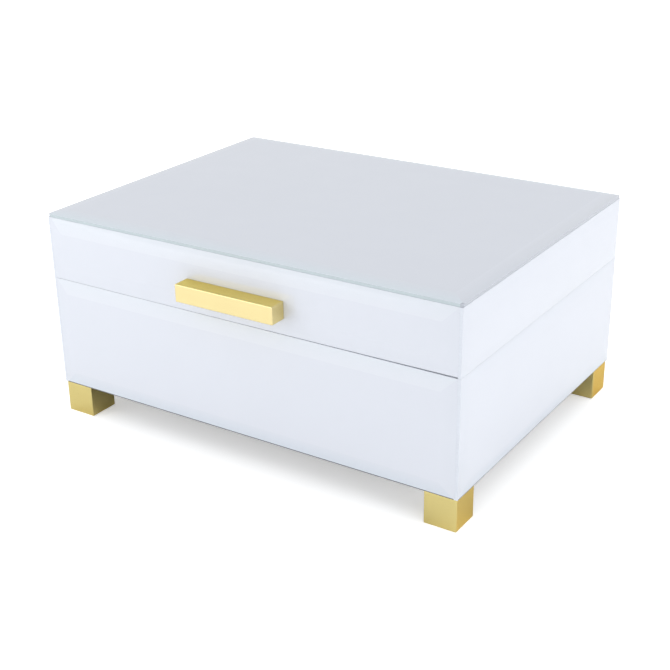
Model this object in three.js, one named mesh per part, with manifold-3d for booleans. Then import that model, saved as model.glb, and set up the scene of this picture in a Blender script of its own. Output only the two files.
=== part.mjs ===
// A lidded jewellery box: glass-clad fibreboard base and lid, bar handle, cube feet, lift-out tray.
// Millimetres. +X is the box's width, -Y its front, +Z up. The origin is on the table, under the
// middle of everything from the front of the handle to the back of the hinge barrels.

import * as THREE from 'three';
import { ConvexGeometry } from 'three/addons/geometries/ConvexGeometry.js';
import { mergeVertices } from 'three/addons/utils/BufferGeometryUtils.js';
import Module from 'manifold-3d';

// ---- driving dimensions ----

const WIDTH = 240; // over the thin edges of the left and right panels
const DEPTH = 178; // over the thin edges of the front and back panels
const BASE_HEIGHT = 60.5; // underside of the box to the middle of the seam
const LID_HEIGHT = 34.8; // middle of the seam to the thin edge of the top panel
const SEAM = 0.5; // open line between base and lid
const SIDE_SEAM = 0.15; // the same between the left and right panels, which nearly meet
const GAP = 0.3; // glue line, or clearance between two touching pieces

const GLASS = 3; // panel thickness inside the bevel
const GLASS_EDGE = 1.6; // panel thickness at its ground edge
const BEVEL = 7.5; // width of the bevel on each panel
const BOARD = 6; // fibreboard carcass

const FOOT = 17; // side of a cube foot
const FOOT_INSET = 0.6; // from the box's corner edges
const FOOT_SCREW_INSET = 2.5; // screw centre, from the foot's centre towards the middle of the box

const HANDLE_LENGTH = 57;
const HANDLE_HEIGHT = 9;
const HANDLE_DEPTH = 9;
const HANDLE_ABOVE_SEAM = 13.2; // to the bar's centre line
const HANDLE_SCREW_X = 18;

const HINGE_X = 70; // hinge centres, each side of the middle
const HINGE_LENGTH = 22;
const BARREL_RADIUS = 2.5;
const BARREL_CLEARANCE = 0.4; // barrel to the back panels and to the mating leaf
const PIN_RADIUS = 0.9;
const PIN_HOLE_RADIUS = 1.25;
const PIN_HEAD_RADIUS = 1.7;
const PIN_HEAD = 0.8;
const LID_KNUCKLE = 8; // length of the middle knuckle, which belongs to the lid
const KNUCKLE_GAP = 0.35;
const LEAF = 1; // leaf thickness
const LEAF_REACH = 12.4; // hinge axis to the leaf's inner end
const HINGE_RECESS = 1.6; // depth of the notch for each leaf in the back wall's edge
const HINGE_RECESS_PLAY = 0.5; // notch past the leaf's ends
const HINGE_SCREW_X = 6.5; // leaf screws, each side of the hinge's middle

const RAIL = 3; // padded rails that carry the tray
const FLOOR_PAD = 3;
const BASE_DIVIDER = 3;
const TRAY_BELOW_RIM = 2;
const TRAY_HEIGHT = 26;
const TRAY_CLEARANCE = 0.8; // tray to the walls of the box
const TRAY_WALL = 3;
const TRAY_FLOOR = 2.4;
const TRAY_DIVIDER = 3;
const TRAY_DIVIDER_Y = -2; // middle of the long divider
const DIVIDER_BELOW_WALL = 2;
const RING_ROLLS = 5;
const RING_SLOT_HEIGHT = 11; // bottom of the slots between two rolls
const TAB_WIDTH = 14;
const TAB_THICKNESS = 1.2;
const TAB_HEIGHT = 8.5;

const LINING = 2; // velvet-covered card in the lid
const MIRROR = 2;
const MIRROR_WIDTH = 184;
const MIRROR_DEPTH = 122;

const FOOT_SCREW = { shank: 1.6, head: 3.2, headHeight: 1.8, length: 16 };
const HANDLE_SCREW = { shank: 1.4, head: 2.8, headHeight: 1.6, length: 14 };
const HINGE_SCREW = { shank: 0.75, head: 1.5, headHeight: 0.75, length: 7 };
const SCREW_SIDES = 12;
const BARREL_SIDES = 20;

// ---- derived places ----

const BEVEL_RISE = GLASS - GLASS_EDGE; // how far a panel's face stands proud of its edges
const UNDERSIDE_Z = FOOT + GAP;
const SEAM_Z = UNDERSIDE_Z + BASE_HEIGHT;
const RIM_Z = SEAM_Z - SEAM / 2;
const LID_RIM_Z = SEAM_Z + SEAM / 2;
const TOP_GLASS_Z = SEAM_Z + LID_HEIGHT - GLASS_EDGE; // underside of the top panel
const TOP_BOARD_Z = TOP_GLASS_Z - GAP - BOARD; // underside of the lid's top board
const BOTTOM_TOP_Z = UNDERSIDE_Z + BOARD; // upper face of the bottom board

const CARCASS_WIDTH = WIDTH - 2 * (GLASS_EDGE + GAP);
const CARCASS_DEPTH = DEPTH - 2 * (GLASS_EDGE + GAP);
const INNER_WIDTH = CARCASS_WIDTH - 2 * BOARD;
const INNER_DEPTH = CARCASS_DEPTH - 2 * BOARD;

const HINGE_Y = DEPTH / 2 + BEVEL_RISE + BARREL_CLEARANCE + BARREL_RADIUS;
const HINGE_SCREW_Y = (INNER_DEPTH + BOARD) / 2; // along the middle of the back board's edge
const BASE_LEAF_TOP = -(SEAM / 2 + HINGE_RECESS - GAP - LEAF); // from the hinge axis
const HANDLE_Z = SEAM_Z + HANDLE_ABOVE_SEAM;
const HANDLE_SCREW_Y = -INNER_DEPTH / 2; // heads lie flush with the board's inner face
const BACK_REACH = HINGE_Y + BARREL_RADIUS;
const FRONT_REACH = DEPTH / 2 + BEVEL_RISE + GAP + HANDLE_DEPTH;
const BOX_Y = (FRONT_REACH - BACK_REACH) / 2; // centre of the box in the model's frame

const TRAY_TOP_Z = RIM_Z - TRAY_BELOW_RIM;
const TRAY_Z = TRAY_TOP_Z - TRAY_HEIGHT;
const LEDGE_Z = TRAY_Z - GAP;
const TRAY_WALL_Z = TRAY_Z + TRAY_FLOOR + GAP;
const TRAY_WIDTH = INNER_WIDTH - 2 * TRAY_CLEARANCE;
const TRAY_DEPTH = INNER_DEPTH - 2 * TRAY_CLEARANCE;
const TRAY_INNER_WIDTH = TRAY_WIDTH - 2 * TRAY_WALL;
const TRAY_INNER_DEPTH = TRAY_DEPTH - 2 * TRAY_WALL;

const wasm = await Module();
wasm.setup();

// ---- materials ----

const paintedGlass = new THREE.MeshStandardMaterial({ color: 0xf0f3fa, roughness: 0.05, metalness: 0 });
const polishedGold = new THREE.MeshStandardMaterial({ color: 0xe3cd8a, roughness: 0.12, metalness: 1 });
const fibreboard = new THREE.MeshStandardMaterial({ color: 0xb7976a, roughness: 0.85, metalness: 0 });
const velvet = new THREE.MeshStandardMaterial({ color: 0xe6ddcf, roughness: 0.95, metalness: 0 });
const silvered = new THREE.MeshStandardMaterial({ color: 0xdfe4e6, roughness: 0.02, metalness: 1 });
const steel = new THREE.MeshStandardMaterial({ color: 0xa9a9a6, roughness: 0.35, metalness: 1 });

// ---- solids ----

function toSolid(geometry) {
  const plain = geometry.clone();
  plain.deleteAttribute('normal');
  plain.deleteAttribute('uv');
  const merged = mergeVertices(plain, 1e-4);
  return new wasm.Manifold(new wasm.Mesh({
    numProp: 3,
    vertProperties: merged.attributes.position.array,
    triVerts: Uint32Array.from(merged.index.array),
  }));
}

function toGeometry(solid) {
  const mesh = solid.getMesh();
  const geometry = new THREE.BufferGeometry();
  geometry.setAttribute('position', new THREE.BufferAttribute(mesh.vertProperties, 3));
  geometry.setIndex(new THREE.BufferAttribute(mesh.triVerts, 1));
  geometry.computeVertexNormals();
  return geometry;
}

function join(geometries) {
  return toGeometry(geometries.map(toSolid).reduce((whole, solid) => whole.add(solid)));
}

function cut(geometry, tools) {
  return toGeometry(tools.map(toSolid).reduce((left, tool) => left.subtract(tool), toSolid(geometry)));
}

// A round bar of the given radii, lying along +X with its middle at x.
function barAlongX(radius, length, x, sides) {
  const bar = new THREE.CylinderGeometry(radius, radius, length, sides);
  return bar.rotateZ(Math.PI / 2).translate(x, 0, 0);
}

// A countersunk screw along Z with the top of its head at z = 0. With play it is the hole for it.
function screwGeometry(screw, play = 0) {
  const headHeight = screw.headHeight + play;
  const head = new THREE.CylinderGeometry(screw.head + play, screw.shank + play, headHeight, SCREW_SIDES);
  const length = screw.length - screw.headHeight / 2 + play;
  const shank = new THREE.CylinderGeometry(screw.shank + play, screw.shank + play, length, SCREW_SIDES);
  head.translate(0, -headHeight / 2 + play, 0);
  shank.translate(0, -screw.length - play + length / 2, 0);
  return join([head, shank]).rotateX(Math.PI / 2);
}

// A sheet of glass with a wide bevel: back face at z = 0, thin edges, full thickness inside.
function bevelledPanel(width, height) {
  const corners = [];
  const layers = [[0, 0], [0, GLASS_EDGE], [BEVEL, GLASS]];
  for (const [inset, z] of layers) {
    const x = width / 2 - inset;
    const y = height / 2 - inset;
    for (const [sx, sy] of [[-1, -1], [1, -1], [1, 1], [-1, 1]]) {
      corners.push(new THREE.Vector3(sx * x, sy * y, z));
    }
  }
  return new ConvexGeometry(corners);
}

function place(parent, name, geometry, material, x, y, z) {
  const mesh = new THREE.Mesh(geometry, material);
  mesh.name = name;
  mesh.position.set(x, y, z);
  parent.add(mesh);
  return mesh;
}

function placeBox(parent, name, size, material, x, y, z) {
  return place(parent, name, new THREE.BoxGeometry(...size), material, x, y, z);
}

// ---- walls of the base and the lid ----

// Four sides, each described in a frame of its own that faces the viewer: -Y out, +Z up.
const LONG_SIDE = { reach: DEPTH / 2, glass: CARCASS_WIDTH, board: CARCASS_WIDTH, seam: SEAM };
const SHORT_SIDE = { reach: WIDTH / 2, glass: DEPTH, board: INNER_DEPTH - 2 * GAP, seam: SIDE_SEAM };
const SIDES = [
  { name: 'front', turn: 0, ...LONG_SIDE },
  { name: 'right', turn: 90, ...SHORT_SIDE },
  { name: 'back', turn: 180, ...LONG_SIDE },
  { name: 'left', turn: -90, ...SHORT_SIDE },
];

function hingeScrewXs() {
  return [-HINGE_X, HINGE_X].flatMap((x) => [x - HINGE_SCREW_X, x + HINGE_SCREW_X]);
}

// Blind holes in the edge of a back board. The leaf's outer face is at z = leaf.
function hingeScrewHoles(leaf, down) {
  return hingeScrewXs().map((x) => {
    const tool = screwGeometry(HINGE_SCREW, GAP);
    if (!down) {
      tool.rotateX(Math.PI);
    }
    return tool.translate(x, 0, leaf);
  });
}

// Notches for the two leaves in the seam edge of a back board or panel, with the edge at z = edge.
function hingeNotches(edge) {
  const through = 4 * BOARD;
  const width = HINGE_LENGTH + 2 * HINGE_RECESS_PLAY;
  return [-HINGE_X, HINGE_X].map((x) => (
    new THREE.BoxGeometry(width, through, 2 * HINGE_RECESS).translate(x, 0, edge)
  ));
}

// Holes through the lid's front wall for the handle's screws, which run along -Y.
function handleScrewHoles(y, z) {
  return [-HANDLE_SCREW_X, HANDLE_SCREW_X].map((x) => (
    screwGeometry(HANDLE_SCREW, GAP).rotateX(-Math.PI / 2).translate(x, y, z)
  ));
}

function wall(parent, part, side, glassZ, boardZ, boardTools = [], glassTools = []) {
  const group = new THREE.Group();
  group.rotation.z = THREE.MathUtils.degToRad(side.turn);
  parent.add(group);

  const [glassLow, glassHigh] = glassZ;
  const back = side.reach - GLASS_EDGE;
  let panel = bevelledPanel(side.glass, glassHigh - glassLow).rotateX(Math.PI / 2);
  if (glassTools.length > 0) {
    panel = cut(panel, glassTools);
  }
  place(group, `${part}_glass_${side.name}`, panel, paintedGlass, 0, -back, (glassLow + glassHigh) / 2);

  const [boardLow, boardHigh] = boardZ;
  let board = new THREE.BoxGeometry(side.board, BOARD, boardHigh - boardLow);
  if (boardTools.length > 0) {
    board = cut(board, boardTools);
  }
  const middle = back - GAP - BOARD / 2;
  place(group, `${part}_board_${side.name}`, board, fibreboard, 0, -middle, (boardLow + boardHigh) / 2);
}

// ---- base ----

function baseWalls(base) {
  const low = BOTTOM_TOP_Z + GAP;
  for (const side of SIDES) {
    const boardTools = [];
    const glassTools = [];
    if (side.name === 'back') {
      const boardMiddle = (low + RIM_Z) / 2;
      boardTools.push(...hingeNotches(RIM_Z - boardMiddle));
      boardTools.push(...hingeScrewHoles(SEAM_Z + BASE_LEAF_TOP - boardMiddle, true));
      glassTools.push(...hingeNotches(RIM_Z - (UNDERSIDE_Z + RIM_Z) / 2));
    }
    const glassZ = [UNDERSIDE_Z, SEAM_Z - side.seam / 2];
    wall(base, 'base', side, glassZ, [low, RIM_Z], boardTools, glassTools);
  }
}

function footPlaces() {
  const x = WIDTH / 2 - FOOT_INSET - FOOT / 2;
  const y = DEPTH / 2 - FOOT_INSET - FOOT / 2;
  return [
    { name: 'front_left', x: -x, y: -y },
    { name: 'front_right', x, y: -y },
    { name: 'back_left', x: -x, y },
    { name: 'back_right', x, y },
  ];
}

function footScrewOffset(foot) {
  return [-Math.sign(foot.x) * FOOT_SCREW_INSET, -Math.sign(foot.y) * FOOT_SCREW_INSET];
}

function bottomAndFeet(base) {
  const holes = [];
  for (const foot of footPlaces()) {
    const [dx, dy] = footScrewOffset(foot);
    const hole = screwGeometry(FOOT_SCREW, GAP).translate(dx, dy, BOTTOM_TOP_Z - FOOT / 2);
    const cube = cut(new THREE.BoxGeometry(FOOT, FOOT, FOOT), [hole]);
    place(base, `foot_${foot.name}`, cube, polishedGold, foot.x, foot.y, FOOT / 2);
    const screw = screwGeometry(FOOT_SCREW);
    place(base, `foot_screw_${foot.name}`, screw, steel, foot.x + dx, foot.y + dy, BOTTOM_TOP_Z);
    holes.push(screwGeometry(FOOT_SCREW, GAP).translate(foot.x + dx, foot.y + dy, BOARD / 2));
  }
  const board = cut(new THREE.BoxGeometry(CARCASS_WIDTH, CARCASS_DEPTH, BOARD), holes);
  place(base, 'base_board_bottom', board, fibreboard, 0, 0, BOTTOM_TOP_Z - BOARD / 2);
}

function baseLining(base) {
  const low = BOTTOM_TOP_Z + GAP;
  const depth = INNER_DEPTH - 2 * GAP;
  const railX = INNER_WIDTH / 2 - GAP - RAIL / 2;
  for (const [name, x] of [['left', -railX], ['right', railX]]) {
    const size = [RAIL, depth, LEDGE_Z - low];
    placeBox(base, `tray_rail_${name}`, size, velvet, x, 0, (low + LEDGE_Z) / 2);
  }
  const padWidth = INNER_WIDTH - 2 * (GAP + RAIL + GAP);
  placeBox(base, 'base_floor_pad', [padWidth, depth, FLOOR_PAD], velvet, 0, 0, low + FLOOR_PAD / 2);
  const dividerLow = low + FLOOR_PAD + GAP;
  const dividerSize = [BASE_DIVIDER, depth, LEDGE_Z - dividerLow];
  placeBox(base, 'base_divider', dividerSize, velvet, 0, 0, (dividerLow + LEDGE_Z) / 2);
}

// ---- lid ----

function lidWalls(lid) {
  const glassHigh = TOP_GLASS_Z - GAP;
  const boardHigh = TOP_BOARD_Z - GAP;
  const glassMiddle = (LID_RIM_Z + glassHigh) / 2;
  const boardMiddle = (LID_RIM_Z + boardHigh) / 2;
  for (const side of SIDES) {
    const boardTools = [];
    const glassTools = [];
    if (side.name === 'back') {
      boardTools.push(...hingeNotches(LID_RIM_Z - boardMiddle));
      boardTools.push(...hingeScrewHoles(SEAM_Z - BASE_LEAF_TOP - boardMiddle, false));
      glassTools.push(...hingeNotches(LID_RIM_Z - glassMiddle));
    }
    if (side.name === 'front') {
      boardTools.push(...handleScrewHoles(BOARD / 2, HANDLE_Z - boardMiddle));
      glassTools.push(...handleScrewHoles(GAP + BOARD, HANDLE_Z - glassMiddle));
    }
    const glassZ = [SEAM_Z + side.seam / 2, glassHigh];
    wall(lid, 'lid', side, glassZ, [LID_RIM_Z, boardHigh], boardTools, glassTools);
  }
}

function lidTop(lid) {
  place(lid, 'lid_glass_top', bevelledPanel(WIDTH, DEPTH), paintedGlass, 0, 0, TOP_GLASS_Z);
  const boardSize = [CARCASS_WIDTH, CARCASS_DEPTH, BOARD];
  placeBox(lid, 'lid_board_top', boardSize, fibreboard, 0, 0, TOP_BOARD_Z + BOARD / 2);
  const liningZ = TOP_BOARD_Z - GAP - LINING / 2;
  const liningSize = [INNER_WIDTH - 2 * GAP, INNER_DEPTH - 2 * GAP, LINING];
  placeBox(lid, 'lid_lining', liningSize, velvet, 0, 0, liningZ);
  const mirrorZ = liningZ - LINING / 2 - GAP - MIRROR / 2;
  placeBox(lid, 'lid_mirror', [MIRROR_WIDTH, MIRROR_DEPTH, MIRROR], silvered, 0, 0, mirrorZ);
}

function handle(lid) {
  const back = -(DEPTH / 2 + BEVEL_RISE + GAP);
  const middle = back - HANDLE_DEPTH / 2;
  const bar = new THREE.BoxGeometry(HANDLE_LENGTH, HANDLE_DEPTH, HANDLE_HEIGHT);
  const drilled = cut(bar, handleScrewHoles(HANDLE_SCREW_Y - middle, 0));
  place(lid, 'handle_bar', drilled, polishedGold, 0, middle, HANDLE_Z);
  for (const [name, x] of [['left', -HANDLE_SCREW_X], ['right', HANDLE_SCREW_X]]) {
    const screw = screwGeometry(HANDLE_SCREW).rotateX(-Math.PI / 2);
    place(lid, `handle_screw_${name}`, screw, steel, x, HANDLE_SCREW_Y, HANDLE_Z);
  }
}

// ---- hinges ----

// One leaf in the hinge's own frame: the axis is the X axis, the plate lies towards -Y.
// The base's leaf is below the axis and holds the two outer knuckles, the lid's the middle one.
function leafGeometry(isBase) {
  const near = 1; // the plate runs this close to the axis, inside the barrel
  const plateZ = isBase ? BASE_LEAF_TOP - LEAF / 2 : -BASE_LEAF_TOP + LEAF / 2;
  const plate = new THREE.BoxGeometry(HINGE_LENGTH, LEAF_REACH - near, LEAF);
  plate.translate(0, -(LEAF_REACH + near) / 2, plateZ);

  const outer = HINGE_LENGTH / 2 - LID_KNUCKLE / 2 - KNUCKLE_GAP; // length of an outer knuckle
  const outerX = (HINGE_LENGTH - outer) / 2;
  const outerBars = (radius, length, x) => (
    [-x, x].map((middle) => barAlongX(radius, length, middle, BARREL_SIDES))
  );
  const middleBar = (radius, length) => [barAlongX(radius, length, 0, BARREL_SIDES)];
  const knuckles = isBase
    ? outerBars(BARREL_RADIUS, outer, outerX)
    : middleBar(BARREL_RADIUS, LID_KNUCKLE);

  const clear = BARREL_RADIUS + BARREL_CLEARANCE;
  const spare = 1; // cuts run this far past the leaf's ends
  const reach = outer + KNUCKLE_GAP + spare;
  const clearances = isBase
    ? middleBar(clear, LID_KNUCKLE + 2 * KNUCKLE_GAP)
    : outerBars(clear, reach, (LID_KNUCKLE + reach) / 2);

  const pinHole = barAlongX(PIN_HOLE_RADIUS, HINGE_LENGTH + 2 * spare, 0, SCREW_SIDES);
  const screwHoles = [-HINGE_SCREW_X, HINGE_SCREW_X].map((x) => {
    const hole = screwGeometry(HINGE_SCREW, GAP);
    if (!isBase) {
      hole.rotateX(Math.PI);
    }
    return hole.translate(x, HINGE_SCREW_Y - HINGE_Y, isBase ? BASE_LEAF_TOP : -BASE_LEAF_TOP);
  });
  return cut(join([plate, ...knuckles]), [...clearances, pinHole, ...screwHoles]);
}

function pinGeometry() {
  const headX = HINGE_LENGTH / 2 + GAP + PIN_HEAD / 2;
  return join([
    barAlongX(PIN_RADIUS, 2 * headX, 0, SCREW_SIDES),
    barAlongX(PIN_HEAD_RADIUS, PIN_HEAD, -headX, SCREW_SIDES),
    barAlongX(PIN_HEAD_RADIUS, PIN_HEAD, headX, SCREW_SIDES),
  ]);
}

function hinges(base, lid) {
  for (const [side, x] of [['left', -HINGE_X], ['right', HINGE_X]]) {
    place(base, `hinge_leaf_base_${side}`, leafGeometry(true), polishedGold, x, HINGE_Y, SEAM_Z);
    place(lid, `hinge_leaf_lid_${side}`, leafGeometry(false), polishedGold, x, HINGE_Y, SEAM_Z);
    place(base, `hinge_pin_${side}`, pinGeometry(), steel, x, HINGE_Y, SEAM_Z);
    for (const [mark, dx] of [['a', -HINGE_SCREW_X], ['b', HINGE_SCREW_X]]) {
      const down = screwGeometry(HINGE_SCREW);
      const up = screwGeometry(HINGE_SCREW).rotateX(Math.PI);
      const lowZ = SEAM_Z + BASE_LEAF_TOP;
      const highZ = SEAM_Z - BASE_LEAF_TOP;
      place(base, `hinge_screw_base_${side}_${mark}`, down, polishedGold, x + dx, HINGE_SCREW_Y, lowZ);
      place(lid, `hinge_screw_lid_${side}_${mark}`, up, polishedGold, x + dx, HINGE_SCREW_Y, highZ);
    }
  }
}

// ---- tray ----

// The side view of the ring cushion: a block whose top is a row of half-round rolls.
function ringCushionOutline(depth) {
  const outline = new THREE.Shape();
  const radius = depth / RING_ROLLS / 2;
  outline.moveTo(-depth / 2, 0);
  outline.lineTo(depth / 2, 0);
  outline.lineTo(depth / 2, RING_SLOT_HEIGHT);
  for (let roll = 0; roll < RING_ROLLS; roll += 1) {
    const middle = depth / 2 - radius * (2 * roll + 1);
    outline.absarc(middle, RING_SLOT_HEIGHT, radius, 0, Math.PI, false);
  }
  outline.closePath();
  return outline;
}

function ringCushion(tray) {
  const frontY = -TRAY_INNER_DEPTH / 2 + GAP;
  const backY = TRAY_DIVIDER_Y - TRAY_DIVIDER / 2 - GAP;
  const length = TRAY_INNER_WIDTH - 2 * GAP;
  const outline = ringCushionOutline(backY - frontY);
  const body = new THREE.ExtrudeGeometry(outline, { depth: length, bevelEnabled: false, curveSegments: 8 });
  // The outline's x becomes the model's Y, its y becomes Z, and the extrusion runs along X.
  body.translate(0, 0, -length / 2).rotateX(Math.PI / 2).rotateZ(Math.PI / 2);
  place(tray, 'ring_cushion', body, velvet, 0, (frontY + backY) / 2, TRAY_WALL_Z);
}

function trayShell(tray) {
  const floorSize = [TRAY_WIDTH, TRAY_DEPTH, TRAY_FLOOR];
  placeBox(tray, 'tray_floor', floorSize, velvet, 0, 0, TRAY_Z + TRAY_FLOOR / 2);
  const height = TRAY_TOP_Z - TRAY_WALL_Z;
  const middleZ = TRAY_WALL_Z + height / 2;
  const wallY = (TRAY_DEPTH - TRAY_WALL) / 2;
  for (const [name, y] of [['front', -wallY], ['back', wallY]]) {
    placeBox(tray, `tray_wall_${name}`, [TRAY_WIDTH, TRAY_WALL, height], velvet, 0, y, middleZ);
  }
  const wallX = (TRAY_WIDTH - TRAY_WALL) / 2;
  const sideSize = [TRAY_WALL, TRAY_INNER_DEPTH - 2 * GAP, height];
  for (const [name, x] of [['left', -wallX], ['right', wallX]]) {
    placeBox(tray, `tray_wall_${name}`, sideSize, velvet, x, 0, middleZ);
    const tabSize = [TAB_THICKNESS, TAB_WIDTH, TAB_HEIGHT];
    const tabZ = TRAY_TOP_Z + GAP + TAB_HEIGHT / 2;
    placeBox(tray, `pull_tab_${name}`, tabSize, velvet, x, 0, tabZ);
  }
}

function trayDividers(tray) {
  const height = TRAY_TOP_Z - DIVIDER_BELOW_WALL - TRAY_WALL_Z;
  const middleZ = TRAY_WALL_Z + height / 2;
  const longSize = [TRAY_INNER_WIDTH - 2 * GAP, TRAY_DIVIDER, height];
  placeBox(tray, 'tray_divider_long', longSize, velvet, 0, TRAY_DIVIDER_Y, middleZ);
  const low = TRAY_DIVIDER_Y + TRAY_DIVIDER / 2 + GAP;
  const high = TRAY_INNER_DEPTH / 2 - GAP;
  const shortSize = [TRAY_DIVIDER, high - low, height];
  placeBox(tray, 'tray_divider_short', shortSize, velvet, 0, (low + high) / 2, middleZ);
}

// ---- the whole box ----

const box = new THREE.Group();
box.position.y = BOX_Y;

const base = new THREE.Group();
baseWalls(base);
bottomAndFeet(base);
baseLining(base);

const lid = new THREE.Group();
lidWalls(lid);
lidTop(lid);
handle(lid);
hinges(base, lid);

const tray = new THREE.Group();
trayShell(tray);
trayDividers(tray);
ringCushion(tray);

box.add(base, lid, tray);

const model = new THREE.Group();
model.add(box);

export default model;
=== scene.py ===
# Looks of the lidded jewellery box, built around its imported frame. Metres, +X width, -Y front, +Z up.

import math

import bmesh
import bpy
from mathutils import Matrix, Vector, noise


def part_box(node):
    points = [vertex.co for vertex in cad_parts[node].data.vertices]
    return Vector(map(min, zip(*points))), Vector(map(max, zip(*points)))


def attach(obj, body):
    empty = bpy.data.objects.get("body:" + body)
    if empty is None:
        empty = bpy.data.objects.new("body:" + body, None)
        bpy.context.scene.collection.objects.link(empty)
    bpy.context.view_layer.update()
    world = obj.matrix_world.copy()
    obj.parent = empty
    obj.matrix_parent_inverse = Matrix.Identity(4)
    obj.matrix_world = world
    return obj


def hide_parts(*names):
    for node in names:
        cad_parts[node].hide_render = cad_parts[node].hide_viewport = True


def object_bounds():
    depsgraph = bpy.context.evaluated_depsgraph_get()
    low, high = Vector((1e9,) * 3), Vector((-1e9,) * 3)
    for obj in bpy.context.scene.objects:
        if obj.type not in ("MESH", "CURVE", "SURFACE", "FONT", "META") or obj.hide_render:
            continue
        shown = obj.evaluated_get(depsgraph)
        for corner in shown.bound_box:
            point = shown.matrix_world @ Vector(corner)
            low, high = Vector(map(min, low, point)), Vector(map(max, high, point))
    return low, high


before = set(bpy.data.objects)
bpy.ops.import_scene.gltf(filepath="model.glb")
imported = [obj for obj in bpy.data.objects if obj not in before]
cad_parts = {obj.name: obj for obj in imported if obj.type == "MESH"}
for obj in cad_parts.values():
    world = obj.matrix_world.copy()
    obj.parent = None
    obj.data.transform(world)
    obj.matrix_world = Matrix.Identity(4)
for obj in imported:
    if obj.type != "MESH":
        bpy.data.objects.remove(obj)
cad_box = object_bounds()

MM = 0.001
SIDES = ("front", "right", "back", "left")
OUTWARD = {
    "front": Vector((0, -1, 0)),
    "right": Vector((1, 0, 0)),
    "back": Vector((0, 1, 0)),
    "left": Vector((-1, 0, 0)),
    "top": Vector((0, 0, 1)),
}

# ---- sizes ----

SKIN = 1.0 * MM  # points this near a box-like piece's outer face move with that face
CLOSE = 0.28 * MM  # closes a glue line that the frame leaves 0.3 mm open
LID_CLOSE = 0.2 * MM  # the lid's side panels stop just short of the top panel
SIDE_CLOSE = 0.10 * MM  # narrows the seam between the left and right panels
SEAM_DROP = 0.36 * MM  # the lid's front panel hangs this much lower at its left end
SEAM_RISE = 0.56 * MM  # and its lower edge curves up by this much to its right end
SHARP_ANGLE = math.radians(30)
TOUCHING = 0.05 * MM
WELD = 0.002 * MM  # points nearer than this are one point
BEVEL_WIDTH = 7.5 * MM
ARRIS = 0.05 * MM  # the sharp edges of the glass are taken off by this much
CORNER_RADIUS = 1.5 * MM  # of the top panel, seen from above
METAL_ROUND = 0.35 * MM
HINGE_ROUND = 0.12 * MM
PIN_ROUND = 0.2 * MM
MIRROR_ROUND = 0.5 * MM
BOARD_ROUND = 0.5 * MM
WRAP_ROUND = 0.9 * MM  # velvet turned over a board's edge
RAIL_ROUND = 1.1 * MM
DIVIDER_ROUND = 1.3 * MM
TRAY_ROUND = 1.2 * MM
TRAY_FLOOR_ROUND = 0.8 * MM
CLOTH_PRESSURE = 4.0
CLOTH_FRAMES = 20
PAD_PITCH = 5 * MM
PAD_CROWN = 1.4 * MM
LINING_CROWN = 1.1 * MM
RING_ROLLS = 5
ROLL_PITCH = 4 * MM
ROLL_SIDES = 20
ROLL_END = 6 * MM  # length over which a roll's end draws in
ROLL_DRAW_IN = 0.30  # share of its radius that a roll loses at its end
ROLL_SLACK = 0.7 * MM
ROLL_SWELL = 0.9  # share of the slack that the stuffing takes up
UNEVEN_SPACING = 14 * MM  # of the lumps in the stuffing
PAD_UNEVEN = 0.12 * MM
LINING_UNEVEN = 0.08 * MM

# The screws' proportions are shares of the head's radius, apart from the tip's.
SCREW_SIDES = 24
SCREW_HEAD_HEIGHT = 0.55
SCREW_SHANK = 0.5
# Height and radius, from the head's face down to the shank.
SCREW_HEAD_PROFILE = ((0.0, 0.90), (-0.03, 0.97), (-0.12, 0.97), (-SCREW_HEAD_HEIGHT, SCREW_SHANK))
SCREW_TURN = math.radians(37)  # each screw stops at another angle
THREAD_PITCH = 0.38
THREAD_RINGS = 6  # for each turn of the thread
THREAD_ROOT = 0.70  # of the shank's radius
THREAD_DEPTH = 0.28
TIP_LENGTH = 0.12  # of the screw's length
TIP_POINT = 0.15  # of the shank's radius
RECESS_LAYERS = ((0.10, 0.62, 0.13), (-0.62, 0.12, 0.06))  # height, half length, half width

# The ribbon loops, in millimetres.
RIBBON_THICKNESS = 0.42
RIBBON_BULGE = 0.95  # from the loop's middle to its side
RIBBON_FOOT = 0.30  # from its middle to each stitched end
RIBBON_HEIGHT = 8.0
RIBBON_SPAN_STEPS = 6
RIBBON_BEND_STEPS = 8
RIBBON_STATIONS = 8
RIBBON_LEAN = (-0.12, 0.25)  # at the loop's two side edges, and how much more in its middle
RIBBON_CLEAR = 0.02  # over the tray's wall

# ---- colours, linear light ----

PAINT = (0.697, 0.718, 0.774)
# Painted reflection and shade on the bevels, as shares of the paint's tone: at the bevel's inner line, and
# at the panel's edge. The upper bevels are painted lighter, as light from above would show in them; the
# lowest and the top's short bevels are painted darker towards the edge, as shade.
BEVEL_PAINTED_LIGHT = {
    "upper": ((1.035, 1.035, 1.025), (1.02, 1.035, 1.02)),
    "lowest": ((0.98, 0.985, 0.985), (0.91, 0.95, 0.965)),
    "upright": ((1.005, 1.005, 1.005), (0.99, 0.995, 0.995)),
    "top_long": ((1.02, 1.025, 1.02), (0.99, 1.05, 1.03)),
    "top_short": ((1.03, 1.03, 1.03), (0.94, 0.945, 0.945)),
}
PAINT_CLOUD = (0.58, 0.61, 0.665)
# The bare strip at the base's lower edge, coloured near black: unpainted glass, and painted shade for the
# contact shadow under it.
BARE_GLASS_AND_SHADOW = (0.07, 0.075, 0.09)
BARE_AND_SHADOW_LINE = (0.92, 0.94)  # where on the base's lowest bevels the paint fades to a near-black strip, bare glass painted as the contact shadow under the edge
SIDE_EDGE = (0.705, 0.735, 0.795)
TOP_LONG_EDGE = (0.51, 0.585, 0.605)
# The top panel's short edges are darker than its long ones: partly the ground edge's own tone, partly
# painted shade.
TOP_SHORT_EDGE_AND_SHADE = (0.46, 0.485, 0.53)
GOLD = (0.88, 0.735, 0.37)
GOLD_EDGE = (0.60, 0.52, 0.10)  # what the metal reflects at a glancing angle
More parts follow.
